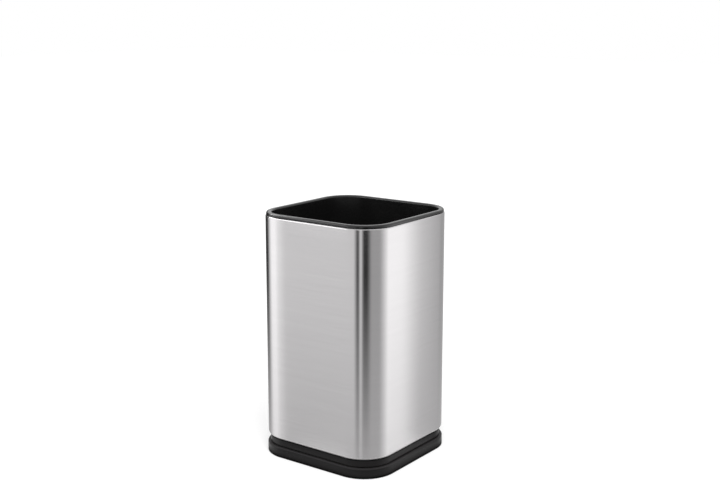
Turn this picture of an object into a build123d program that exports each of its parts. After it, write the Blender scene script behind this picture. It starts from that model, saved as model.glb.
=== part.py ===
from build123d import *
from math import sqrt
import os

os.makedirs("parts", exist_ok=True)

# Sizes are in millimetres. The origin is on the worktop, under the middle of the holder.
# The turning axis is +Z, and the flat sides face X and Y.

# Sleeve: the brushed sheet shell, open at both ends, with both edges rolled inwards
sleeve_width = 114.0
sleeve_corner_radius = 26.0
sleeve_height = 176.5
sheet_thickness = 0.6
top_roll_radius = 1.4
top_hem_width = 2.4
bottom_curl_radius = 2.6
bottom_flange_width = 7.0

# Plinth: the lower tier, a shallow dish that stands still
plinth_overhang = 0.5
plinth_floor = 2.0
plinth_wall = 2.6
plinth_edge_round = 1.1
plinth_bottom_chamfer = 0.7
rib_thickness = 1.6
plinth_rib_height = 3.0

# Feet: rubber discs stuck under the corners of the plinth
foot_diameter = 14.0
foot_thickness = 0.8
foot_inset = 15.0

# Turntable: two pressed tracks with a caged ring of balls between them
ball_count = 6
ball_diameter = 5.0
ball_circle_diameter = 72.0
ball_clearance = 0.08
pocket_clearance = 0.15
track_thickness = 0.6
track_inner_flange = 5.4
track_outer_flange = 2.4
track_groove_depth = 1.25
seat_clearance = 0.1
cage_thickness = 1.8
cage_web = 0.95
track_screw_count = 3
track_screw_diameter = 2.0
track_screw_length = 3.0
track_screw_across_flats = 3.0
track_screw_head_height = 1.1
screw_hole_clearance = 0.1
thread_clearance = 0.02

# Turning tray: the upper tier, which carries the sleeve
tray_inset = 1.6
tray_rim_height = 4.5
tray_edge_chamfer = 0.3
tray_floor = 2.4
tray_wall = 4.6
tray_skirt_depth = 0.6
tray_skirt_wall = 2.6
turning_gap = 0.5
neck_inset = 1.3
reveal_height = 0.5
tray_hub_diameter = 18.0
boss_width = 10.0

# Weight: a steel plate that clamps the sleeve's bottom flange to the tray
plate_thickness = 4.0
plate_inset = 3.5
plate_hole_diameter = 24.0
plate_edge_chamfer = 0.5
plate_screw_inset = 19.0
plate_screw_diameter = 4.0
plate_screw_head_diameter = 8.0
plate_screw_length = 9.0

# Pivot: a screw held in the plinth, with the tray's bush turning on it
pivot_diameter = 6.0
pivot_head_diameter = 11.0
pivot_head_height = 2.0
pivot_head_recess = 2.4
pivot_running_clearance = 0.06
pivot_hole_clearance = 0.15
pivot_thread_end = 1.0
bush_wall = 1.6
bush_flange_diameter = 14.0
bush_flange_thickness = 1.0
bush_axial_clearance = 0.3
plinth_hub_diameter = 15.0
washer_diameter = 14.0
washer_thickness = 1.0
washer_axial_clearance = 0.2
nut_across_flats = 10.0
nut_height = 5.0
drive_slot_width = 1.2
drive_slot_depth = 0.6

# Liner: the plastic bucket that hangs in the sleeve by its rolled rim
liner_clearance = 0.5
liner_wall = 1.8
liner_floor = 2.2
liner_draft = 0.5
liner_bottom_chamfer = 3.0
liner_floor_round = 3.2
liner_runner_height = 1.9
liner_runner_length = 56.0
liner_runner_width = 3.0
liner_runner_spacing = 52.0
liner_seat_gap = 0.3
lip_inset = 0.5
lip_height = 2.2
lip_seat_gap = 0.2
lip_outer_round = 1.6
lip_inner_round = 1.4
drain_hole_diameter = 6.0

# Heights of the stack, from the worktop up
plinth_bottom = foot_thickness
plinth_floor_top = plinth_bottom + plinth_floor
ball_radius = ball_diameter / 2
groove_radius = ball_radius + ball_clearance
track_reach = groove_radius + track_thickness
ball_plane = plinth_floor_top + track_reach
tray_bottom = ball_plane + track_reach
tray_skirt_bottom = tray_bottom - tray_skirt_depth
plinth_top = tray_skirt_bottom - turning_gap
neck_bottom = tray_bottom + tray_rim_height
tray_floor_top = tray_bottom + tray_floor
sleeve_bottom = neck_bottom + reveal_height
sleeve_top = sleeve_bottom + sleeve_height
plate_bottom = sleeve_bottom + sheet_thickness
plate_top = plate_bottom + plate_thickness
liner_bottom = plate_top + liner_seat_gap + liner_runner_height
lip_bottom = sleeve_top + lip_seat_gap
rim_top = lip_bottom + lip_height

# Outlines of the rounded squares, each measured in from the sleeve's outer face
plinth_width = sleeve_width + 2 * plinth_overhang
plinth_radius = sleeve_corner_radius + plinth_overhang
tray_width = sleeve_width - 2 * tray_inset
tray_radius = sleeve_corner_radius - tray_inset
neck_width = tray_width - 2 * neck_inset
neck_radius = tray_radius - neck_inset
plate_width = sleeve_width - 2 * plate_inset
plate_radius = sleeve_corner_radius - plate_inset
liner_width = sleeve_width - 2 * (top_hem_width + liner_clearance)
liner_radius = sleeve_corner_radius - top_hem_width - liner_clearance
lip_width = sleeve_width - 2 * lip_inset
lip_radius = sleeve_corner_radius - lip_inset

# Rings of the turntable. The groove has a flat floor and 45 degree flanks, all just clear of the ball.
ball_circle_radius = ball_circle_diameter / 2
flange_offset = groove_radius - track_groove_depth
groove_half_width = sqrt(2) * groove_radius - flange_offset
groove_floor_half_width = (sqrt(2) - 1) * groove_radius
back_half_width = sqrt(2) * track_reach - flange_offset - track_thickness
back_floor_half_width = (sqrt(2) - 1) * track_reach
track_inner_radius = ball_circle_radius - groove_half_width - track_inner_flange
track_outer_radius = ball_circle_radius + groove_half_width + track_outer_flange
seat_edge = ball_circle_radius - back_half_width - seat_clearance
seat_height = track_reach - flange_offset - track_thickness
cage_half_width = ball_radius + pocket_clearance + cage_web
track_screw_circle = (track_inner_radius + ball_circle_radius - cage_half_width) / 2

# Levels and radii of the pivot
pivot_head_top = plinth_bottom + pivot_head_recess
bush_flange_bottom = tray_bottom - bush_flange_thickness
plinth_hub_top = bush_flange_bottom - bush_axial_clearance
bush_radius = pivot_diameter / 2 + pivot_running_clearance + bush_wall
tray_hub_top = sleeve_bottom - washer_thickness - washer_axial_clearance
washer_bottom = tray_hub_top + washer_axial_clearance
nut_bottom = washer_bottom + washer_thickness
nut_top = nut_bottom + nut_height
pivot_top = nut_top + pivot_thread_end

foot_place = plinth_width / 2 - foot_inset
plate_screw_place = sleeve_width / 2 - plate_screw_inset

# Ribs run along the diagonals, from the middle out into the rounded corners
plinth_rib_reach = sqrt(2) * (plinth_width / 2 - plinth_radius) + plinth_radius - plinth_wall / 2
tray_rib_reach = sqrt(2) * (neck_width / 2 - neck_radius) + neck_radius - tray_wall / 2


def write(part, name):
    """Names a finished piece and writes it."""
    part.label = name
    export_step(part, f"parts/{name}.step")


# The lower tier: a dish with its hub, ribs and ball track seat inside
with BuildPart() as plinth:
    with BuildSketch(Plane.XY.offset(plinth_bottom)):
        RectangleRounded(plinth_width, plinth_width, plinth_radius)
    extrude(amount=plinth_top - plinth_bottom)
    chamfer(plinth.edges().group_by(Axis.Z)[0], length=plinth_bottom_chamfer)
    fillet(plinth.edges().group_by(Axis.Z)[-1], radius=plinth_edge_round)
    with BuildSketch(Plane.XY.offset(plinth_floor_top)):
        dish_width = plinth_width - 2 * plinth_wall
        RectangleRounded(dish_width, dish_width, plinth_radius - plinth_wall)
    extrude(amount=plinth_top - plinth_floor_top, mode=Mode.SUBTRACT)

    # diagonal ribs out to the wall, cleared again where the track lies
    with BuildSketch(Plane.XY.offset(plinth_floor_top)):
        with PolarLocations(plinth_rib_reach / 2, 4, start_angle=45):
            Rectangle(plinth_rib_reach, rib_thickness)
    extrude(amount=plinth_rib_height)
    with BuildSketch(Plane.XY.offset(plinth_floor_top)):
        Circle(track_outer_radius + seat_clearance)
        Circle(track_inner_radius, mode=Mode.SUBTRACT)
    extrude(amount=plinth_rib_height, mode=Mode.SUBTRACT)

    # raised ring under the track's inner flange, and the hub
    with BuildSketch(Plane.XY.offset(plinth_floor_top)):
        Circle(seat_edge)
        Circle(track_inner_radius, mode=Mode.SUBTRACT)
    extrude(amount=seat_height)
    with BuildSketch(Plane.XY.offset(plinth_floor_top)):
        Circle(plinth_hub_diameter / 2)
    extrude(amount=plinth_hub_top - plinth_floor_top)
    with Locations((0, 0, plinth_hub_top)):
        Hole(pivot_diameter / 2 + pivot_hole_clearance)
    with BuildSketch(Plane.XY.offset(plinth_bottom)):
        Circle(pivot_head_diameter / 2 + pivot_hole_clearance)
    extrude(amount=pivot_head_recess, mode=Mode.SUBTRACT)

    with BuildSketch(Plane.XY.offset(plinth_floor_top + seat_height)):
        with PolarLocations(track_screw_circle, track_screw_count):
            Circle(track_screw_diameter / 2 + thread_clearance)
    extrude(amount=-(track_screw_length - track_thickness), mode=Mode.SUBTRACT)
write(plinth.part, "plinth")

# Rubber feet
foot_places = {
    "foot_front_left": (-foot_place, -foot_place),
    "foot_front_right": (foot_place, -foot_place),
    "foot_back_left": (-foot_place, foot_place),
    "foot_back_right": (foot_place, foot_place),
}
for foot_name, (foot_x, foot_y) in foot_places.items():
    with BuildPart() as foot:
        with BuildSketch(Plane((foot_x, foot_y, 0))):
            Circle(foot_diameter / 2)
        extrude(amount=foot_thickness)
    write(foot.part, foot_name)

# Pressed ball tracks: a flat inner flange, the groove, and a narrow outer flange that stiffens it
for track_name, side in (("lower_track", -1), ("upper_track", 1)):
    flange_face = ball_plane + side * flange_offset
    flange_back = flange_face + side * track_thickness
    groove_floor = ball_plane + side * groove_radius
    groove_back = ball_plane + side * track_reach
    with BuildPart() as track:
        with BuildSketch(Plane.XZ):
            with BuildLine():
                Polyline(
                    (track_inner_radius, flange_face),
                    (ball_circle_radius - groove_half_width, flange_face),
                    (ball_circle_radius - groove_floor_half_width, groove_floor),
                    (ball_circle_radius + groove_floor_half_width, groove_floor),
                    (ball_circle_radius + groove_half_width, flange_face),
                    (track_outer_radius, flange_face),
                    (track_outer_radius, flange_back),
                    (ball_circle_radius + back_half_width, flange_back),
                    (ball_circle_radius + back_floor_half_width, groove_back),
                    (ball_circle_radius - back_floor_half_width, groove_back),
                    (ball_circle_radius - back_half_width, flange_back),
                    (track_inner_radius, flange_back),
                    close=True,
                )
            make_face()
        revolve(axis=Axis.Z)
        with BuildSketch(Plane.XY.offset(flange_face)):
            with PolarLocations(track_screw_circle, track_screw_count):
                Circle(track_screw_diameter / 2 + screw_hole_clearance)
        extrude(amount=side * track_thickness, mode=Mode.SUBTRACT)
    write(track.part, track_name)

    # small hexagon-head screws through the inner flange
    with BuildPart() as track_screws:
        with BuildSketch(Plane.XY.offset(flange_face)):
            with PolarLocations(track_screw_circle, track_screw_count):
                RegularPolygon(track_screw_across_flats / 2, 6, major_radius=False)
        extrude(amount=-side * track_screw_head_height)
        with BuildSketch(Plane.XY.offset(flange_face)):
            with PolarLocations(track_screw_circle, track_screw_count):
                Circle(track_screw_diameter / 2)
        extrude(amount=side * track_screw_length)
    write(track_screws.part, f"{track_name}_screws")

# Ball cage: a flat ring with a round pocket for each ball
with BuildPart() as ball_cage:
    with BuildSketch(Plane.XY.offset(ball_plane)):
        Circle(ball_circle_radius + cage_half_width)
        Circle(ball_circle_radius - cage_half_width, mode=Mode.SUBTRACT)
        with PolarLocations(ball_circle_radius, ball_count):
            Circle(ball_radius + pocket_clearance, mode=Mode.SUBTRACT)
    extrude(amount=cage_thickness / 2, both=True)
write(ball_cage.part, "ball_cage")

with BuildPart() as bearing_balls:
    with Locations((0, 0, ball_plane)):
        with PolarLocations(ball_circle_radius, ball_count):
            Sphere(ball_radius)
write(bearing_balls.part, "bearing_balls")

# The upper tier: a ribbed tray whose neck sits back from the sleeve's curled edge,
# with a skirt that closes the running gap to the plinth
with BuildPart() as turning_tray:
    with BuildSketch(Plane.XY.offset(tray_skirt_bottom)):
        RectangleRounded(tray_width, tray_width, tray_radius)
    extrude(amount=neck_bottom - tray_skirt_bottom)
    chamfer(turning_tray.edges().group_by(Axis.Z)[0], length=tray_edge_chamfer)
    chamfer(turning_tray.edges().group_by(Axis.Z)[-1], length=tray_edge_chamfer)
    with BuildSketch(Plane.XY.offset(tray_skirt_bottom)):
        skirt_width = tray_width - 2 * tray_skirt_wall
        RectangleRounded(skirt_width, skirt_width, tray_radius - tray_skirt_wall)
    extrude(amount=tray_skirt_depth, mode=Mode.SUBTRACT)
    with BuildSketch(Plane.XY.offset(neck_bottom)):
        RectangleRounded(neck_width, neck_width, neck_radius)
    extrude(amount=reveal_height)
    with BuildSketch(Plane.XY.offset(tray_floor_top)):
        well_width = neck_width - 2 * tray_wall
        RectangleRounded(well_width, well_width, neck_radius - tray_wall)
    extrude(amount=sleeve_bottom - tray_floor_top, mode=Mode.SUBTRACT)

    # diagonal ribs, the hub, and a square boss on each rib for the weight's screw
    with BuildSketch(Plane.XY.offset(tray_floor_top)):
        with PolarLocations(tray_rib_reach / 2, 4, start_angle=45):
            Rectangle(tray_rib_reach, rib_thickness)
        Circle(tray_hub_diameter / 2)
    extrude(amount=tray_hub_top - tray_floor_top)
    with BuildSketch(Plane.XY.offset(tray_floor_top)):
        with GridLocations(2 * plate_screw_place, 2 * plate_screw_place, 2, 2):
            Rectangle(boss_width, boss_width)
    extrude(amount=plate_bottom - tray_floor_top)

    # raised ring over the track's inner flange
    with BuildSketch(Plane.XY.offset(tray_bottom)):
        Circle(seat_edge)
        Circle(track_inner_radius, mode=Mode.SUBTRACT)
    extrude(amount=-seat_height)
    with BuildSketch(Plane.XY.offset(tray_bottom - seat_height)):
        with PolarLocations(track_screw_circle, track_screw_count):
            Circle(track_screw_diameter / 2 + thread_clearance)
    extrude(amount=track_screw_length - track_thickness, mode=Mode.SUBTRACT)

    with Locations((0, 0, tray_hub_top)):
        Hole(bush_radius)
    with BuildSketch(Plane.XY.offset(plate_bottom)):
        with GridLocations(2 * plate_screw_place, 2 * plate_screw_place, 2, 2):
            Circle(plate_screw_diameter / 2 + thread_clearance)
    extrude(amount=-(plate_screw_length - plate_thickness), mode=Mode.SUBTRACT)
write(turning_tray.part, "turning_tray")

# Weight plate: its screws are countersunk flush
with BuildPart() as weight_plate:
    with BuildSketch(Plane.XY.offset(plate_bottom)):
        RectangleRounded(plate_width, plate_width, plate_radius)
        Circle(plate_hole_diameter / 2, mode=Mode.SUBTRACT)
    extrude(amount=plate_thickness)
    chamfer(weight_plate.edges().group_by(Axis.Z)[-1], length=plate_edge_chamfer)
    with Locations((0, 0, plate_top)):
        with GridLocations(2 * plate_screw_place, 2 * plate_screw_place, 2, 2):
            CounterSinkHole(
                plate_screw_diameter / 2 + screw_hole_clearance,
                plate_screw_head_diameter / 2 + screw_hole_clearance,
                depth=plate_thickness,
                counter_sink_angle=90,
            )
write(weight_plate.part, "weight_plate")

# Countersunk screws with a driver slot
with BuildPart() as plate_screws:
    head_radius = plate_screw_head_diameter / 2
    shank_radius = plate_screw_diameter / 2
    with BuildSketch(Plane.XY.offset(plate_top)):
        with GridLocations(2 * plate_screw_place, 2 * plate_screw_place, 2, 2):
            Circle(head_radius)
    extrude(amount=-(head_radius - shank_radius), taper=45)
    with BuildSketch(Plane.XY.offset(plate_top)):
        with GridLocations(2 * plate_screw_place, 2 * plate_screw_place, 2, 2):
            Circle(shank_radius)
    extrude(amount=-plate_screw_length)
    with BuildSketch(Plane.XY.offset(plate_top)):
        with GridLocations(2 * plate_screw_place, 2 * plate_screw_place, 2, 2):
            Rectangle(plate_screw_head_diameter, drive_slot_width)
    extrude(amount=-drive_slot_depth, mode=Mode.SUBTRACT)
write(plate_screws.part, "plate_screws")

# Pivot bush: its flange is the tray's bearing face over the plinth's hub
with BuildPart() as pivot_bush:
    with BuildSketch(Plane.XY.offset(bush_flange_bottom)):
        Circle(bush_flange_diameter / 2)
    extrude(amount=bush_flange_thickness)
    with BuildSketch(Plane.XY.offset(tray_bottom)):
        Circle(bush_radius)
    extrude(amount=tray_hub_top - tray_bottom)
    with Locations((0, 0, tray_hub_top)):
        Hole(pivot_diameter / 2 + pivot_running_clearance)
write(pivot_bush.part, "pivot_bush")

with BuildPart() as pivot_screw:
    with BuildSketch(Plane.XY.offset(pivot_head_top)):
        Circle(pivot_head_diameter / 2)
    extrude(amount=-pivot_head_height)
    chamfer(pivot_screw.edges().group_by(Axis.Z)[0], length=pivot_head_height / 4)
    with BuildSketch(Plane.XY.offset(pivot_head_top - pivot_head_height)):
        Rectangle(pivot_head_diameter, drive_slot_width)
    extrude(amount=drive_slot_depth, mode=Mode.SUBTRACT)
    with BuildSketch(Plane.XY.offset(pivot_head_top)):
        Circle(pivot_diameter / 2)
    extrude(amount=pivot_top - pivot_head_top)
    chamfer(pivot_screw.edges().group_by(Axis.Z)[-1], length=pivot_thread_end / 2)
write(pivot_screw.part, "pivot_screw")

with BuildPart() as pivot_washer:
    with BuildSketch(Plane.XY.offset(washer_bottom)):
        Circle(washer_diameter / 2)
        Circle(pivot_diameter / 2 + pivot_hole_clearance, mode=Mode.SUBTRACT)
    extrude(amount=washer_thickness)
write(pivot_washer.part, "pivot_washer")

with BuildPart() as pivot_nut:
    with BuildSketch(Plane.XY.offset(nut_bottom)):
        RegularPolygon(nut_across_flats / 2, 6, major_radius=False)
        Circle(pivot_diameter / 2 + thread_clearance, mode=Mode.SUBTRACT)
    extrude(amount=nut_height)
write(pivot_nut.part, "pivot_nut")

# Sleeve: the sheet's own section, swept round the rounded square from the seam at the back
with BuildPart() as steel_sleeve:
    half_width = sleeve_width / 2
    with BuildLine() as sleeve_path:
        for side in (-1, 1):
            FilletPolyline(
                (0, -side * half_width),
                (side * half_width, -side * half_width),
                (side * half_width, side * half_width),
                (0, side * half_width),
                radius=sleeve_corner_radius,
            )
    with BuildSketch(Plane.YZ):
        with BuildLine():
            FilletPolyline(
                (half_width - top_hem_width, sleeve_top),
                (half_width, sleeve_top),
                (half_width, sleeve_bottom),
                (half_width - bottom_flange_width, sleeve_bottom),
                radius=[top_roll_radius, bottom_curl_radius],
            )
            Polyline(
                (half_width - bottom_flange_width, sleeve_bottom),
                (half_width - bottom_flange_width, sleeve_bottom + sheet_thickness),
                (half_width - bottom_curl_radius, sleeve_bottom + sheet_thickness),
                (half_width - sheet_thickness, sleeve_bottom + bottom_curl_radius),
                (half_width - sheet_thickness, sleeve_top - top_roll_radius),
                (half_width - top_roll_radius, sleeve_top - sheet_thickness),
                (half_width - top_hem_width, sleeve_top - sheet_thickness),
                (half_width - top_hem_width, sleeve_top),
            )
        make_face()
    sweep(path=sleeve_path.wires()[0])
write(steel_sleeve.part, "steel_sleeve")

# Liner: a drafted bucket under a rolled rim, on two moulded runners, with a drain hole
with BuildPart() as liner:
    with BuildSketch(Plane.XY.offset(lip_bottom)):
        RectangleRounded(liner_width, liner_width, liner_radius)
    extrude(amount=-(lip_bottom - liner_bottom), taper=liner_draft)
    chamfer(liner.edges().group_by(Axis.Z)[0], length=liner_bottom_chamfer)
    with BuildSketch(Plane.XY.offset(lip_bottom)):
        RectangleRounded(lip_width, lip_width, lip_radius)
    extrude(amount=lip_height)
    fillet(liner.edges().group_by(Axis.Z)[-1], radius=lip_outer_round)

    # the hollow, with the same draft, rounded at its floor and at its mouth
    with BuildSketch(Plane.XY.offset(rim_top)):
        mouth_width = liner_width - 2 * liner_wall
        RectangleRounded(mouth_width, mouth_width, liner_radius - liner_wall)
    extrude(amount=-(rim_top - liner_bottom - liner_floor), taper=liner_draft, mode=Mode.SUBTRACT)
    floor_face = liner.faces(Select.LAST).sort_by(Axis.Z)[0]
    fillet(floor_face.edges(), radius=liner_floor_round)
    mouth_edges = liner.faces().sort_by(Axis.Z)[-1].inner_wires()[0].edges()
    fillet(mouth_edges, radius=lip_inner_round)

    with BuildSketch(Plane.XY.offset(liner_bottom)):
        with GridLocations(0, liner_runner_spacing, 1, 2):
            Rectangle(liner_runner_length, liner_runner_width)
    extrude(amount=-liner_runner_height)
    with BuildSketch(Plane.XY.offset(liner_bottom)):
        Circle(drain_hole_diameter / 2)
    extrude(amount=liner_floor, mode=Mode.SUBTRACT)
write(liner.part, "liner")
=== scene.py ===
import math

import bmesh
import bpy
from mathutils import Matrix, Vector


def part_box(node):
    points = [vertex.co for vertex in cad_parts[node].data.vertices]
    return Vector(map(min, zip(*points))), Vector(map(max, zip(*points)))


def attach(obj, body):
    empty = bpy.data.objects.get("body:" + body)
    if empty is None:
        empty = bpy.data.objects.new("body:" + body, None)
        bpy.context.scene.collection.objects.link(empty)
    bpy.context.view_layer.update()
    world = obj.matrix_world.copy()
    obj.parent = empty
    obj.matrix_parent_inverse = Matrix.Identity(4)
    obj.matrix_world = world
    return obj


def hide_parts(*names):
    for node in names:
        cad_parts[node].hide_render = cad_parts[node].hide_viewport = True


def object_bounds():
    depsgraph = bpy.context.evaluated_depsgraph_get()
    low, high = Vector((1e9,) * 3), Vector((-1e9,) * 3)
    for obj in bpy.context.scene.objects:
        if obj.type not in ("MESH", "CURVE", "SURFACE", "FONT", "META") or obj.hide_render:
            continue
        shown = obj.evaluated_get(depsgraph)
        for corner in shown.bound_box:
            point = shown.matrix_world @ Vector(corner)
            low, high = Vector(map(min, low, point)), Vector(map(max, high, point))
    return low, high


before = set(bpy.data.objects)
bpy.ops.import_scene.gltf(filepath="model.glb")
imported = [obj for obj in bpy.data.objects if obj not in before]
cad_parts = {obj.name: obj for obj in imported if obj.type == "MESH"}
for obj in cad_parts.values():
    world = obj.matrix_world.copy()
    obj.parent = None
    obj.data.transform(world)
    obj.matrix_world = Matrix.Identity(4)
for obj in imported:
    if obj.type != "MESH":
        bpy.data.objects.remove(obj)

cadLow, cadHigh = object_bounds()
print("holder: frame loaded, box", [round(v, 4) for v in (*cadLow, *cadHigh)])

# Every outline of the holder is the same rounded square, let out or taken in.
# coreHalf is half the square that the corner circles roll round, so a point's
# distance from that square tells which outline it lies on.
cornerRadius = 0.026
sleeveLow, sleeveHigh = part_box("steel_sleeve")
sleeveHalf = sleeveHigh.x
coreHalf = sleeveHalf - cornerRadius

near = 0.00002         # two points closer than this are in the same place
squarely = 0.99        # a face with this much of an axis in its normal looks along it
cornerSteps = 28       # faces round one corner of an outline
edgeSteps = 8          # faces across a rounded edge
insideSteps = 3        # the same for the small edges of ribs, hubs and bosses
arcProfile = 0.5       # the bevel profile that gives a true arc
holdMargin = 0.0008    # how far from the corner arcs the hold lines lie
smoothAngle = 30       # degrees; faces that meet at more than this keep a sharp edge


def outlineReach(point):
    across = max(abs(point.x) - coreHalf, 0)
    along = max(abs(point.y) - coreHalf, 0)
    return math.hypot(across, along)


def deselectAll():
    if bpy.context.object and bpy.context.object.mode != "OBJECT":
        bpy.ops.object.mode_set(mode="OBJECT")
    bpy.ops.object.select_all(action="DESELECT")


def pick(piece):
    deselectAll()
    bpy.context.view_layer.objects.active = piece
    piece.select_set(True)


def openForEdit(piece):
    pick(piece)
    bpy.ops.object.mode_set(mode="EDIT")
    bpy.ops.mesh.select_all(action="DESELECT")


def closeEdit():
    bpy.ops.object.mode_set(mode="OBJECT")


def choose(piece, kind, test):
    # picks faces or edges in edit mode; the test is given their corner points and normal
    bpy.ops.mesh.select_mode(type="FACE" if kind == "faces" else "EDGE")
    bpy.ops.mesh.select_all(action="DESELECT")
    mesh = bmesh.from_edit_mesh(piece.data)
    for part in getattr(mesh, kind):
        normal = part.normal if kind == "faces" else None
        if test([v.co for v in part.verts], normal):
            part.select_set(True)
    mesh.select_flush_mode()
    bmesh.update_edit_mesh(piece.data)


def atLevel(points, level):
    return all(abs(p.z - level) < near for p in points)


def chooseCap(piece, level, upwards):
    sign = 1 if upwards else -1
    choose(piece, "faces", lambda points, normal:
           normal.z * sign > squarely and atLevel(points, level))


def chooseLevel(piece, level):
    choose(piece, "edges", lambda points, normal: atLevel(points, level))


def chooseLoop(piece, level, reach):
    choose(piece, "edges", lambda points, normal:
           atLevel(points, level) and all(abs(outlineReach(p) - reach) < near for p in points))


def roundEdges(radius, steps):
    bpy.ops.mesh.bevel(offset=radius, segments=steps, profile=arcProfile, affect="EDGES")


def roundLoop(piece, level, reach, radius, steps=edgeSteps):
    chooseLoop(piece, level, reach)
    roundEdges(radius, steps)


def carry(rise):
    # extrudes what is chosen, up or down
    bpy.ops.mesh.extrude_region_move(TRANSFORM_OT_translate={"value": (0, 0, rise)})


def placeInMesh(piece):
    pick(piece)
    bpy.ops.object.transform_apply(location=True, rotation=True, scale=True)


def squareBar(name, length, width, bottom, top, spot=(0, 0), turn=0.0):
    deselectAll()
    bpy.ops.mesh.primitive_cube_add(size=1, location=(*spot, (bottom + top) / 2),
                                    rotation=(0, 0, turn))
    bar = bpy.context.object
    bar.name = name
    bar.scale = (length, width, top - bottom)
    placeInMesh(bar)
    return bar


def roundedBlock(name, half, bottom, top):
    # a square block with the holder's rounded corners
    piece = squareBar(name, 2 * half, 2 * half, bottom, top)
    openForEdit(piece)
    choose(piece, "edges", lambda points, normal: abs(points[0].z - points[1].z) > near)
    roundEdges(half - coreHalf, cornerSteps)
    closeEdit()
    return piece


def holdFlats(piece):
    # lines just clear of the corner arcs keep the sides flat when they are shaded smooth
    openForEdit(piece)
    for side in (-1, 1):
        place = side * (coreHalf - holdMargin)
        for spot, normal in (((place, 0, 0), (1, 0, 0)), ((0, place, 0), (0, 1, 0))):
            bpy.ops.mesh.select_all(action="SELECT")
            bpy.ops.mesh.bisect(plane_co=spot, plane_no=normal)
    closeEdit()


def applyModifier(piece, kind, **values):
    pick(piece)
    modifier = piece.modifiers.new(kind.title(), kind)
    for key, value in values.items():
        setattr(modifier, key, value)
    bpy.ops.object.modifier_apply(modifier=modifier.name)


def finishPiece(piece, body, nodes, material):
    piece.data.materials.clear()
    piece.data.materials.append(material)
    pick(piece)
    bpy.ops.object.shade_smooth_by_angle(angle=math.radians(smoothAngle))
    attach(piece, body)
    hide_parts(*nodes)
    print("holder:", piece.name, "modelled,", len(piece.data.polygons), "faces")


# Materials

noiseSpan = (0.3, 0.7)    # where nearly all of the noise lies


def feed(owner, socket, value):
    # a socket takes another node's output or a plain value
    if isinstance(value, bpy.types.NodeSocket):
        owner.node_tree.links.new(value, socket)
    else:
        socket.default_value = value


def addNode(owner, kind, inputs=None, **settings):
    node = owner.node_tree.nodes.new(kind)
    for key, value in settings.items():
        setattr(node, key, value)
    for place, value in (inputs or {}).items():
        feed(owner, node.inputs[place], value)
    return node


def startMaterial(name, colour, roughness, metallic=0.0):
    material = bpy.data.materials.new(name)
    material.use_nodes = True
    shader = material.node_tree.nodes["Principled BSDF"]
    shader.inputs["Base Color"].default_value = (*colour, 1)
    shader.inputs["Roughness"].default_value = roughness
    shader.inputs["Metallic"].default_value = metallic
    return material, shader


def objectPlace(owner):
    return addNode(owner, "ShaderNodeTexCoord").outputs["Object"]


def placeAlong(owner, axis):
    return addNode(owner, "ShaderNodeSeparateXYZ", {"Vector": objectPlace(owner)}).outputs[axis]


def addNoise(material, stretch, detail=2.0, roughness=0.5):
    # stretch is how many times a metre the noise changes along X, Y and Z
    mapping = addNode(material, "ShaderNodeMapping",
                      {"Vector": objectPlace(material), "Scale": stretch})
    noise = addNode(material, "ShaderNodeTexNoise",
                    {"Vector": mapping.outputs["Vector"], "Scale": 1.0,
                     "Detail": detail, "Roughness": roughness})
    return noise.outputs["Fac"]


def remap(owner, value, before, after=(0, 1)):
    # takes a value from one range over to another and holds it there
    ranged = addNode(owner, "ShaderNodeMapRange",
                     {"Value": value, "From Min": before[0], "From Max": before[1],
                      "To Min": after[0], "To Max": after[1]})
    return ranged.outputs["Result"]


def spread(material, noise, low, high):
    return remap(material, noise, noiseSpan, (low, high))


def combine(owner, operation, first, second):
    joined = addNode(owner, "ShaderNodeMath", {0: first, 1: second}, operation=operation)
    return joined.outputs[0]


def multiply(owner, first, second):
    return combine(owner, "MULTIPLY", first, second)


def tintBy(material, shader, value, dark, light):
    mix = addNode(material, "ShaderNodeMix",
                  {"Factor": value, "A": (*dark, 1), "B": (*light, 1)}, data_type="RGBA")
    feed(material, shader.inputs["Base Color"], mix.outputs["Result"])


steelLook = {
    "colour": (0.621, 0.609, 0.615),
    "colourWorn": (0.551, 0.539, 0.545),
    "roughness": 0.25,
    "stretched": 0.95,         # share by which the brush lines draw a highlight out
    "turn": 0.25,              # a quarter turn: it is drawn out across the brush lines
    "grain": (24, 24, 4200),   # the brush lines: changes per metre along X, Y and Z
    "grainDetail": 3.0,
    "grainDepth": 0.012,       # how far the roughness strays
    "grainShare": 0.5,         # how little of the lighter colour a line may have
    "streaks": (5, 5, 240),    # broader streaks among the lines
    "streakShare": 0.85,
}


def brushedSteel(name):
    look = steelLook
    roughness, depth = look["roughness"], look["grainDepth"]
    material, shader = startMaterial(name, look["colour"], roughness, 1.0)
    shader.inputs["Anisotropic"].default_value = look["stretched"]
    shader.inputs["Anisotropic Rotation"].default_value = look["turn"]
    tangent = addNode(material, "ShaderNodeTangent", direction_type="RADIAL", axis="Z")
    feed(material, shader.inputs["Tangent"], tangent.outputs["Tangent"])
    grain = addNoise(material, look["grain"], look["grainDetail"])
    streaks = addNoise(material, look["streaks"])
    shares = multiply(material, spread(material, streaks, look["streakShare"], 1.0),
                      spread(material, grain, look["grainShare"], 1.0))
    tintBy(material, shader, shares, look["colourWorn"], look["colour"])
    feed(material, shader.inputs["Roughness"],
         spread(material, grain, roughness - depth, roughness + depth))
    return material


plasticLook = {
    "bump": 0.35,
    "grainDetail": 3.0,
    "grainRoughness": 0.6,
    "patches": (40, 40, 40),   # where the sheen changes: changes per metre
    "patchDepth": 0.04,        # how far the roughness strays from patch to patch
    "highlightShare": 0.75,         # least share of the painted highlight that a patch keeps
    # the colour of the painted highlight along a rounded edge
    "highlightColour": (0.035, 0.033, 0.034),
}


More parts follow.
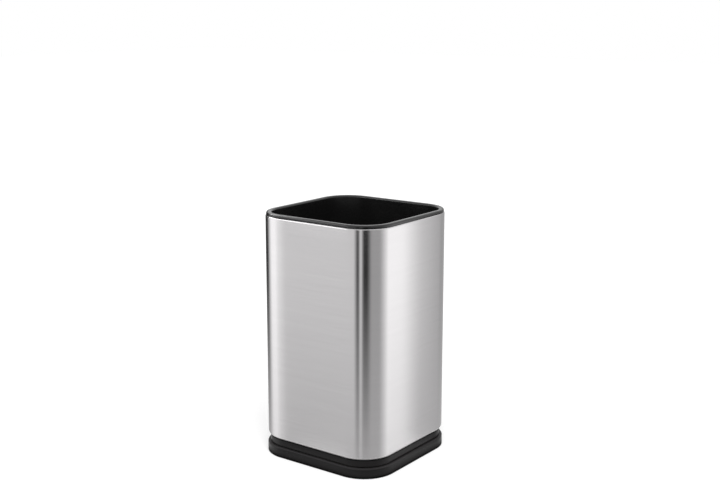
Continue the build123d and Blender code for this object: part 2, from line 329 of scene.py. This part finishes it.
def mouldedPlastic(name, colour, roughness, grain, depth, shine=0.5, paintedHighlight=None):
    # a fine even texture of a given grain size and depth; the last argument gives the heights
    # between which a highlight is painted on, a paler band standing for light caught by an edge
    look = plasticLook
    material, shader = startMaterial(name, colour, roughness)
    shader.inputs["Specular IOR Level"].default_value = shine
    texture = addNoise(material, (1 / grain,) * 3, look["grainDetail"], look["grainRoughness"])
    patches = addNoise(material, look["patches"])
    feed(material, shader.inputs["Roughness"],
         spread(material, patches, roughness - look["patchDepth"], roughness + look["patchDepth"]))
    bump = addNode(material, "ShaderNodeBump",
                   {"Height": texture, "Strength": look["bump"], "Distance": depth})
    feed(material, shader.inputs["Normal"], bump.outputs["Normal"])
    # painted highlight: a paler band between two heights, broken into patches
    if paintedHighlight:
        highlightMask = multiply(material, remap(material, placeAlong(material, "Z"), paintedHighlight),
                         spread(material, patches, look["highlightShare"], 1.0))
        tintBy(material, shader, highlightMask, colour, look["highlightColour"])
    return material


mottledShade = 0.86    # the darker mottles of a plain metal, as a share of its colour
mottledDetail = 3.0


def mottledMetal(name, colour, roughness, stretch, wander):
    material, shader = startMaterial(name, colour, roughness, 1.0)
    mottled = addNoise(material, stretch, mottledDetail)
    feed(material, shader.inputs["Roughness"],
         spread(material, mottled, roughness - wander, roughness + wander))
    tintBy(material, shader, spread(material, mottled, 0.0, 1.0),
           tuple(c * mottledShade for c in colour), colour)
    return material


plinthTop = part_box("plinth")[1].z
highlightBand = (plinthTop - 0.0011, plinthTop - 0.0002)    # the plinth's rounded brim, where a highlight is painted on
baseLook = {"colour": (0.0118, 0.0110, 0.0114), "roughness": 0.3,
            "grain": 0.0005, "depth": 0.00002, "shine": 0.14}
plastics = {
    "baseBlack": baseLook,
    # the plinth's black carries a painted highlight along its brim
    "plinthBlack": {**baseLook, "paintedHighlight": highlightBand},
    "linerBlack": {"colour": (0.008, 0.008, 0.008), "roughness": 0.2,
                   "grain": 0.0004, "depth": 0.00001},
    "footRubber": {"colour": (0.02, 0.02, 0.02), "roughness": 0.8,
                   "grain": 0.0003, "depth": 0.00004},
    "nylonCream": {"colour": (0.72, 0.70, 0.62), "roughness": 0.45,
                   "grain": 0.0006, "depth": 0.00001},
}
metals = {
    "trackSteel": {"colour": (0.56, 0.56, 0.57), "roughness": 0.32,
                   "stretch": (120, 120, 400), "wander": 0.06},
    "zincPlated": {"colour": (0.70, 0.71, 0.74), "roughness": 0.28,
                   "stretch": (900, 900, 900), "wander": 0.08},
    "ballSteel": {"colour": (0.78, 0.78, 0.79), "roughness": 0.08,
                  "stretch": (300, 300, 300), "wander": 0.02},
    "plateCoat": {"colour": (0.42, 0.43, 0.45), "roughness": 0.48,
                  "stretch": (260, 260, 260), "wander": 0.09},
}
finishes = {"brushedSteel": brushedSteel("brushedSteel")}
for name, look in plastics.items():
    finishes[name] = mouldedPlastic(name, **look)
for name, look in metals.items():
    finishes[name] = mottledMetal(name, **look)
print("holder: materials made")


# Turntable: what the plinth and the tray share, each in metres from the turning axis
turntable = {
    "ringInner": 0.02828,
    "ringOuter": 0.03333,
    "ringHeight": 0.00125,
    "trackOuter": 0.04082,
    "screwCircle": 0.03034,
    "screwHole": 0.00102,
    "screwHoleSides": 24,
    "screwCount": 3,
    "ribThickness": 0.0016,
    "edge": 0.0003,       # small round on moulded edges inside
    "sunk": 0.0002,       # how far an added form starts inside the wall that carries it
    "barSides": 96,       # flats that stand for the circle of a ring or a hub
    "holeSides": 48,
}


def roundBar(name, radius, bottom, top, spot=(0, 0), sides=turntable["barSides"]):
    deselectAll()
    bpy.ops.mesh.primitive_cylinder_add(vertices=sides, radius=radius, depth=top - bottom,
                                        location=(*spot, (bottom + top) / 2))
    bar = bpy.context.object
    bar.name = name
    placeInMesh(bar)
    return bar


def join(piece, added, operation="UNION"):
    applyModifier(piece, "BOOLEAN", operation=operation, object=added, solver="EXACT")
    bpy.data.objects.remove(added)


def drill(piece, radius, bottom, top, spot=(0, 0), sides=turntable["holeSides"]):
    join(piece, roundBar("drill", radius, bottom, top, spot, sides), "DIFFERENCE")


def addForm(piece, form, end):
    # rounds the edges at the free end of a form and makes it one with the piece
    openForEdit(form)
    chooseLevel(form, end)
    roundEdges(turntable["edge"], insideSteps)
    closeEdit()
    join(piece, form)


def addHub(piece, radius, root, end):
    addForm(piece, roundBar("hub", radius, root - turntable["sunk"], end), end)


def alongDiagonal(reach, quarter):
    turn = math.radians(45 + 90 * quarter)
    return (reach * math.cos(turn), reach * math.sin(turn)), turn


def cornerReach(half):
    # how far a rounded outline reaches along its diagonal
    return math.sqrt(2) * coreHalf + half - coreHalf


def addRibs(piece, inner, outer, bottom, top):
    for quarter in range(4):
        spot, turn = alongDiagonal((inner + outer) / 2, quarter)
        rib = squareBar("rib", outer - inner, turntable["ribThickness"],
                        bottom - turntable["sunk"], top, spot, turn)
        addForm(piece, rib, top)


def addRing(piece, root, end):
    # the raised ring that a track's inner flange lies on, up or down from its root
    low, high = min(root, end), max(root, end)
    sunk = turntable["sunk"]
    low, high = (low - sunk, high) if end > root else (low, high + sunk)
    ring = roundBar("ring", turntable["ringOuter"], low, high)
    drill(ring, turntable["ringInner"], low - sunk, high + sunk, sides=turntable["barSides"])
    join(piece, ring)


def drillScrewHoles(piece, bottom, top):
    reach = turntable["screwCircle"]
    for place in range(turntable["screwCount"]):
        turn = math.tau * place / turntable["screwCount"]
        spot = (reach * math.cos(turn), reach * math.sin(turn))
        drill(piece, turntable["screwHole"], bottom, top, spot, turntable["screwHoleSides"])


# Steel sleeve: rolled sheet, open at both ends, with a weld line down the middle of the back
sleeve = {
    "sheet": 0.0006,
    "hemWidth": 0.0024,      # how far the rolled top reaches in
    "topRoll": 0.0014,
    "bottomCurl": 0.0026,
    "curlSteps": 10,
    "flangeWidth": 0.007,    # how far the foot reaches in under the weight plate
    "seamHalf": 0.0004,      # from the middle of the weld line to its edge
    "seamDepth": 0.00012,
}


def makeSleeve():
    bottom, top = sleeveLow.z, sleeveHigh.z
    piece = roundedBlock("steelSleeve", sleeveHalf, bottom, top)
    openForEdit(piece)
    for level, upwards, width in ((top, True, sleeve["hemWidth"]),
                                  (bottom, False, sleeve["flangeWidth"])):
        chooseCap(piece, level, upwards)
        bpy.ops.mesh.inset(thickness=width)
        bpy.ops.mesh.delete(type="FACE")
    roundLoop(piece, top, cornerRadius, sleeve["topRoll"])
    roundLoop(piece, bottom, cornerRadius, sleeve["bottomCurl"], sleeve["curlSteps"])
    closeEdit()
    holdFlats(piece)

    # five lines down the back: the middle one is pressed in, the outermost keep the rest flat
    openForEdit(piece)
    for step in (-2, -1, 0, 1, 2):
        choose(piece, "faces", lambda points, normal: normal.y > squarely)
        bpy.ops.mesh.bisect(plane_co=(step * sleeve["seamHalf"], 0, 0), plane_no=(1, 0, 0))
    choose(piece, "edges", lambda points, normal:
           all(abs(p.x) < near and p.y > 0 for p in points)
           and abs(points[0].z - points[1].z) > (top - bottom) / 2)
    bpy.ops.transform.translate(value=(0, -sleeve["seamDepth"], 0))
    closeEdit()
    applyModifier(piece, "SOLIDIFY", thickness=sleeve["sheet"], offset=-1, use_even_offset=True)
    finishPiece(piece, "holder", ["steel_sleeve"], finishes["brushedSteel"])


# Liner: a drafted bucket under a rolled rim, on two runners, with a drain hole
liner = {
    "lipHalf": sleeveHalf - 0.0005,
    "bucketHalf": sleeveHalf - 0.0029,
    "wall": 0.0018,
    "floor": 0.0022,
    "draft": math.radians(0.5),
    "lipHeight": 0.0022,
    "lipOuterRound": 0.0016,
    "lipInnerRound": 0.0014,
    "floorRound": 0.0032,
    "bottomRound": 0.0030,
    "runnerHeight": 0.0019,
    "runnerSize": (0.056, 0.003),
    "runnerPlace": 0.026,
    "drainRadius": 0.003,
    "drainSides": 40,
}


def drawWalls(half, start, end):
    # takes the chosen cap down from one level to another and draws it in by the draft
    depth = start - end
    carry(-depth)
    shrink = 1 - depth * math.tan(liner["draft"]) / half
    bpy.ops.transform.resize(value=(shrink, shrink, 1), center_override=(0, 0, end))


def makeLiner():
    low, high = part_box("liner")
    rimTop = high.z
    lipBottom = rimTop - liner["lipHeight"]
    bucketBottom = low.z + liner["runnerHeight"]
    floorTop = bucketBottom + liner["floor"]
    mouthHalf = liner["bucketHalf"] - liner["wall"]
    piece = roundedBlock("liner_bucket", liner["lipHalf"], lipBottom, rimTop)
    openForEdit(piece)

    # outside: in under the lip, then down
    chooseCap(piece, lipBottom, False)
    bpy.ops.mesh.inset(thickness=liner["lipHalf"] - liner["bucketHalf"])
    drawWalls(liner["bucketHalf"], lipBottom, bucketBottom)

    # inside: in from the rim, down to the floor
    chooseCap(piece, rimTop, True)
    bpy.ops.mesh.inset(thickness=liner["lipHalf"] - mouthHalf)
    drawWalls(mouthHalf, rimTop, floorTop)

    # rounds, from the rim down
    roundLoop(piece, rimTop, liner["lipHalf"] - coreHalf, liner["lipOuterRound"])
    roundLoop(piece, rimTop, mouthHalf - coreHalf, liner["lipInnerRound"])
    for level, radius in ((floorTop, liner["floorRound"]), (bucketBottom, liner["bottomRound"])):
        chooseLevel(piece, level)
        roundEdges(radius, edgeSteps)
    closeEdit()

    drill(piece, liner["drainRadius"], bucketBottom - liner["floor"],
          bucketBottom + 2 * liner["floor"], sides=liner["drainSides"])
    for side in (-1, 1):
        runner = squareBar("runner", *liner["runnerSize"], low.z,
                           bucketBottom + turntable["sunk"], (0, side * liner["runnerPlace"]))
        addForm(piece, runner, low.z)
    holdFlats(piece)
    finishPiece(piece, "liner", ["liner"], finishes["linerBlack"])


# Plinth: the lower tier, a shallow dish with a rounded brim
plinth = {
    "wall": 0.0026,
    "floor": 0.0020,
    "edgeRound": 0.0011,
    "bottomRound": 0.0007,
    "ribHeight": 0.0030,
    "hubRadius": 0.0075,
    "hubHeight": 0.00506,
    "pivotHole": 0.00315,
    "headRecess": 0.00565,
    "headDepth": 0.0024,
    "screwDepth": 0.0024,
}


def makePlinth():
    low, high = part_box("plinth")
    half = high.x
    sunk = turntable["sunk"]
    floorTop = low.z + plinth["floor"]
    ribTop = floorTop + plinth["ribHeight"]
    ringTop = floorTop + turntable["ringHeight"]
    hubTop = floorTop + plinth["hubHeight"]
    piece = roundedBlock("plinth_dish", half, low.z, high.z)
    openForEdit(piece)
    chooseCap(piece, high.z, True)
    bpy.ops.mesh.inset(thickness=plinth["wall"])
    carry(floorTop - high.z)
    roundLoop(piece, high.z, half - coreHalf, plinth["edgeRound"])
    roundLoop(piece, low.z, half - coreHalf, plinth["bottomRound"])
    closeEdit()

    # ribs inside the ring and outside the track; they end in the hub and in the wall
    addRibs(piece, plinth["hubRadius"] / 2, turntable["ringInner"] + sunk, floorTop, ribTop)
    addRibs(piece, turntable["trackOuter"], cornerReach(half) - plinth["wall"] / 2,
            floorTop, ribTop)
    addRing(piece, floorTop, ringTop)
    addHub(piece, plinth["hubRadius"], floorTop, hubTop)
    drill(piece, plinth["pivotHole"], low.z - sunk, hubTop + sunk)
    drill(piece, plinth["headRecess"], low.z - sunk, low.z + plinth["headDepth"])
    drillScrewHoles(piece, ringTop - plinth["screwDepth"], ringTop + sunk)
    holdFlats(piece)
    finishPiece(piece, "base", ["plinth"], finishes["plinthBlack"])


# Turning tray: the upper tier, its neck set back under the sleeve and a skirt over the gap
tray = {
    "half": sleeveHalf - 0.0016,
    "skirtDepth": 0.0006,
    "skirtWall": 0.0026,
    "neckInset": 0.0013,
    "neckHeight": 0.0005,
    "edgeRound": 0.0003,
    "edgeSteps": 6,
    "wall": 0.0046,
    "floor": 0.0024,
    "hubRadius": 0.009,
    "hubDrop": 0.0012,       # from the sleeve's foot down to the top of the hub and ribs
    "bushHole": 0.00466,
    "bossWidth": 0.01,
    "bossPlace": sleeveHalf - 0.019,
    "bossHole": 0.00202,
    "bossHoleDepth": 0.005,
    "bossHoleSides": 32,
    "screwDepth": 0.0024,
}


def makeTray():
    sunk = turntable["sunk"]
    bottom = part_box("upper_track")[1].z
    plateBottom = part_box("weight_plate")[0].z
    skirtBottom = bottom - tray["skirtDepth"]
    ringEnd = bottom - turntable["ringHeight"]
    neckTop = sleeveLow.z
    brimTop = neckTop - tray["neckHeight"]
    floorTop = bottom + tray["floor"]
    hubTop = neckTop - tray["hubDrop"]
    half = tray["half"]
    neckHalf = half - tray["neckInset"]
    piece = roundedBlock("turning_tray_body", half, skirtBottom, brimTop)
    openForEdit(piece)

    # from above: in to the neck and up, then in from its wall and down to the floor
    chooseCap(piece, brimTop, True)
    bpy.ops.mesh.inset(thickness=tray["neckInset"])
    carry(tray["neckHeight"])
    bpy.ops.mesh.inset(thickness=tray["wall"])
    carry(floorTop - neckTop)

    # from below: up inside the skirt
    chooseCap(piece, skirtBottom, False)
    bpy.ops.mesh.inset(thickness=tray["skirtWall"])
    carry(tray["skirtDepth"])
    for level in (brimTop, skirtBottom):
        roundLoop(piece, level, half - coreHalf, tray["edgeRound"], tray["edgeSteps"])
    closeEdit()

    addRibs(piece, tray["hubRadius"] / 2, cornerReach(neckHalf) - tray["wall"] / 2,
            floorTop, hubTop)
    addHub(piece, tray["hubRadius"], floorTop, hubTop)
    addRing(piece, bottom, ringEnd)

    # bosses that the weight plate is screwed down on
    for quarter in range(4):
        spot = alongDiagonal(math.sqrt(2) * tray["bossPlace"], quarter)[0]
        boss = squareBar("boss", tray["bossWidth"], tray["bossWidth"], floorTop - sunk,
                         plateBottom, spot)
        addForm(piece, boss, plateBottom)
        drill(piece, tray["bossHole"], plateBottom - tray["bossHoleDepth"], plateBottom + sunk,
              spot, tray["bossHoleSides"])
    drill(piece, tray["bushHole"], bottom - sunk, hubTop + sunk)
    drillScrewHoles(piece, ringEnd - sunk, ringEnd + tray["screwDepth"])
    holdFlats(piece)
    finishPiece(piece, "holder", ["turning_tray"], finishes["baseBlack"])


makeSleeve()
makeLiner()
makePlinth()
makeTray()
print("holder: pieces modelled")

# the nodes that keep their own shape, by finish
nodeFinishes = {
    "footRubber": ("foot_front_left", "foot_front_right", "foot_back_left", "foot_back_right"),
    "trackSteel": ("lower_track", "upper_track"),
    "zincPlated": ("lower_track_screws", "upper_track_screws", "plate_screws",
                   "pivot_screw", "pivot_washer", "pivot_nut"),
    "nylonCream": ("ball_cage", "pivot_bush"),
    "ballSteel": ("bearing_balls",),
    "plateCoat": ("weight_plate",),
}
for finish, names in nodeFinishes.items():
    for name in names:
        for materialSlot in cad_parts[name].material_slots:
            materialSlot.material = finishes[finish]
print("holder: other nodes finished")


# Studio: a pale floor, a white surround, a soft lamp, and a ring that the brushed steel mirrors
studio = {
    "worldLight": 0.5,       # what the surround gives the object
    "floorSize": 12,
    "floorColour": 0.84,
    "floorRoughness": 0.9,
    "floorLift": 0.38,       # added where the floor is looked at or mirrored
    "contactLevel": 0.04,    # the floor's colour in the crevice under the plinth
    "contactFade": 0.0008,   # how softly that crevice ends
    "shadeFade": 0.008,      # how far out the mirrored floor beside the plinth is shaded
    "ringRadius": 0.08,
    "ringSides": 180,
    "ringBottom": 0.0005,
    "ringTop": 0.2,
    "lowSpan": 0.155,        # height over which a card's level at the floor gives way to its own
    "lowCurve": 1.2,         # above 1, a card's own level reaches further down
}
# What each kind of card gives back, at its top and at the floor: plain levels, where 1 is white
cardKinds = {
    "wall": (0.9, 0.7),
    "flag": (0.05, 0.6),
    "strip": (1.5, 1.2),
    "greyCard": (0.5, 0.6),
}
# The ring stands for the cards and flags round the holder. Angles run in degrees from -Y (0)
# towards +X (90). A card goes from one angle to the other, and each blends into the next.
cards = [
    (-180, -90, "wall"),
    (-77, -50, "flag"),         # left
    (-41, -35, "strip"),        # left
    (-27, 30, "wall"),
    (34, 35, "flag"),           # thin
    (37, 38, "wall"),           # gap between the two flags
    (40, 44, "flag"),           # middle
    (48, 57, "greyCard"),
    (73, 100, "strip"),         # right
    (113, 113, "wall"),
    (130, 153, "greyCard"),     # behind, right
    (180, 180, "wall"),
]


def lookingRays(owner):
    # tells the camera's own rays, and all that look at a thing, from those that light others
    path = addNode(owner, "ShaderNodeLightPath")
    fromCamera = path.outputs["Is Camera Ray"]
    looking = combine(owner, "MAXIMUM", fromCamera, path.outputs["Is Glossy Ray"])
    return fromCamera, combine(owner, "MAXIMUM", looking, path.outputs["Is Transmission Ray"])


def makeFloor():
    deselectAll()
    bpy.ops.mesh.primitive_plane_add(size=studio["floorSize"], location=(0, 0, 0))
    floor = bpy.context.object
    floor.name = "floor"
    pale, dark = (studio["floorColour"],) * 3, (studio["contactLevel"],) * 3
    material, shader = startMaterial("paleFloor", pale, studio["floorRoughness"])
    shader.inputs["Specular IOR Level"].default_value = 0.0
    fromCamera, looking = lookingRays(material)

    # how far a place lies outside the square that the corner circles roll round
    reach = objectPlace(material)
    for operation, value in (("ABSOLUTE", (0, 0, 0)), ("SUBTRACT", (coreHalf, coreHalf, 0)),
                             ("MAXIMUM", (0, 0, 0))):
        step = addNode(material, "ShaderNodeVectorMath", {0: reach, 1: value},
                       operation=operation)
        reach = step.outputs["Vector"]
    length = addNode(material, "ShaderNodeVectorMath", {0: reach}, operation="LENGTH")
    distance = length.outputs["Value"]

    # no light reaches the crevice under the plinth, and little the floor beside it
    edge, fade = cadHigh.x - coreHalf, studio["contactFade"]
    clear = remap(material, distance, (edge - fade / 2, edge + fade / 2))
    shaded = remap(material, distance, (edge, edge + studio["shadeFade"]))
    outside = multiply(material, clear, combine(material, "MAXIMUM", shaded, fromCamera))
    tintBy(material, shader, outside, dark, pale)
    lift = multiply(material, outside, multiply(material, looking, studio["floorLift"]))
    shader.inputs["Emission Color"].default_value = (1, 1, 1, 1)
    feed(material, shader.inputs["Emission Strength"], lift)
    floor.data.materials.append(material)


def emptyMaterial(name):
    material = bpy.data.materials.new(name)
    material.use_nodes = True
    material.node_tree.nodes.clear()
    return material


def onlyMirrored(card, material, surface):
    # gives a card its glow and shows it to mirror rays alone
    addNode(material, "ShaderNodeOutputMaterial", {"Surface": surface})
    card.data.materials.append(material)
    card.visible_camera = False
    card.visible_diffuse = False
    card.visible_transmission = False
    card.visible_shadow = False


def makeRing():
    deselectAll()
    height = studio["ringTop"] - studio["ringBottom"]
    bpy.ops.mesh.primitive_cylinder_add(vertices=studio["ringSides"], depth=height,
                                        radius=studio["ringRadius"], end_fill_type="NOTHING",
                                        location=(0, 0, studio["ringBottom"] + height / 2))
    ring = bpy.context.object
    ring.name = "mirroredRing"
    placeInMesh(ring)
    material = emptyMaterial("ringGlow")

    # a quarter turn brings the angle's zero to -Y
    turned = addNode(material, "ShaderNodeMapping",
                     {"Vector": objectPlace(material), "Rotation": (0, 0, math.radians(90))})
    angle = addNode(material, "ShaderNodeTexGradient", {"Vector": turned.outputs["Vector"]},
                    gradient_type="RADIAL").outputs["Fac"]
    brightest = max(high for high, low in cardKinds.values())
    cardEdges = [(turn, *cardKinds[kind]) for start, end, kind in cards
                 for turn in sorted({start, end})]
    levels = []
    for column in (1, 2):
        ramp = addNode(material, "ShaderNodeValToRGB", {"Fac": angle})
        stops = ramp.color_ramp.elements
        while len(stops) < len(cardEdges):
            stops.new(0.5)
        for stop, entry in zip(stops, cardEdges):
            stop.position = (entry[0] + 180) / 360
            stop.color = (entry[column] / brightest,) * 3 + (1,)
        levels.append(ramp.outputs["Color"])
    lowness = remap(material, placeAlong(material, "Z"), (studio["lowSpan"], 0))
    blend = addNode(material, "ShaderNodeMix",
                    {"Factor": combine(material, "POWER", lowness, studio["lowCurve"]),
                     "A": levels[0], "B": levels[1]}, data_type="RGBA")
    glow = addNode(material, "ShaderNodeEmission",
                   {"Color": blend.outputs["Result"], "Strength": brightest})
    onlyMirrored(ring, material, glow.outputs["Emission"])


# Small bright cards over the front edge. The rolled edge of the steel mirrors the first, the
# liner's rim the second. Each fades from its left end to its right, between two places on X.
softCards = {
    "softCard": {"middle": (-0.0575, -0.118, 0.235), "size": (0.125, 0.085),
                 "levels": (3.4, 2.4), "fade": (-0.105, -0.040)},
    "rimCard": {"middle": (-0.080, -0.046, 0.235), "size": (0.110, 0.024),
                "levels": (9.0, 1.0), "fade": (-0.085, -0.035)},
}
cardCorner = {"share": 1 / 4, "steps": 6}    # its radius as a share of the card's shorter side


def makeSoftCard(name, values):
    deselectAll()
    bpy.ops.mesh.primitive_plane_add(size=1, location=values["middle"])
    card = bpy.context.object
    card.name = name
    card.scale = (*values["size"], 1)
    placeInMesh(card)
    openForEdit(card)
    bpy.ops.mesh.select_all(action="SELECT")
    bpy.ops.mesh.bevel(offset=min(values["size"]) * cardCorner["share"],
                       segments=cardCorner["steps"], affect="VERTICES")
    closeEdit()
    material = emptyMaterial(name + "Glow")
    level = remap(material, placeAlong(material, "X"), values["fade"], values["levels"])
    glow = addNode(material, "ShaderNodeEmission", {"Strength": level})

    # lit on the underside only, so that the lifted liner doesn't mirror the card
    under = addNode(material, "ShaderNodeNewGeometry").outputs["Backfacing"]
    clear = addNode(material, "ShaderNodeBsdfTransparent")
    either = addNode(material, "ShaderNodeMixShader",
                     {"Fac": under, 1: clear.outputs["BSDF"], 2: glow.outputs["Emission"]})
    onlyMirrored(card, material, either.outputs["Shader"])


def makeWorld():
    world = bpy.data.worlds.new("whiteRoom")
    bpy.context.scene.world = world
    world.use_nodes = True
    background = world.node_tree.nodes["Background"]
    background.inputs["Color"].default_value = (1, 1, 1, 1)
    looking = lookingRays(world)[1]
    feed(world, background.inputs["Strength"],
         remap(world, looking, (0, 1), (studio["worldLight"], 1.0)))


# one broad lamp high on the right, wide enough that its shadow has no edge
lamp = {"from": (0.45, -0.5, 1.0), "spread": 40, "strength": 1.6}


def placeInScene(name, data, turn):
    holder = bpy.data.objects.new(name, data)
    bpy.context.scene.collection.objects.link(holder)
    holder.rotation_mode = "QUATERNION"
    holder.rotation_quaternion = turn
    return holder


def makeLamp():
    light = bpy.data.lights.new("broadLamp", "SUN")
    light.angle = math.radians(lamp["spread"])
    light.energy = lamp["strength"]
    holder = placeInScene("broadLamp", light, Vector(lamp["from"]).to_track_quat("Z", "Y"))
    holder.visible_glossy = False


# Camera, placed by measuring the photographed edges
camera = {
    "azimuth": 36.575,
    "elevation": 11.62,
    "distance": 0.89408,
    "aimHeight": 0.16857,
    "lens": 57.42,
    "sensor": 36,
    "shiftX": 0.0060,
    "nearest": 0.01,
}


def makeCamera():
    data = bpy.data.cameras.new("photoCamera")
    data.sensor_width = camera["sensor"]
    data.lens = camera["lens"]
    data.shift_x = camera["shiftX"]
    data.dof.use_dof = False
    data.clip_start = camera["nearest"]
    azimuth, elevation = math.radians(camera["azimuth"]), math.radians(camera["elevation"])
    back = Vector((math.sin(azimuth) * math.cos(elevation),
                   -math.cos(azimuth) * math.cos(elevation),
                   math.sin(elevation)))
    holder = placeInScene("photoCamera", data, (-back).to_track_quat("-Z", "Y"))
    holder.location = Vector((0, 0, camera["aimHeight"])) + back * camera["distance"]
    bpy.context.scene.camera = holder


makeFloor()
makeRing()
for name, values in softCards.items():
    makeSoftCard(name, values)
makeWorld()
makeLamp()
makeCamera()
bpy.context.scene.view_settings.view_transform = "Standard"
print("holder: studio and camera set")
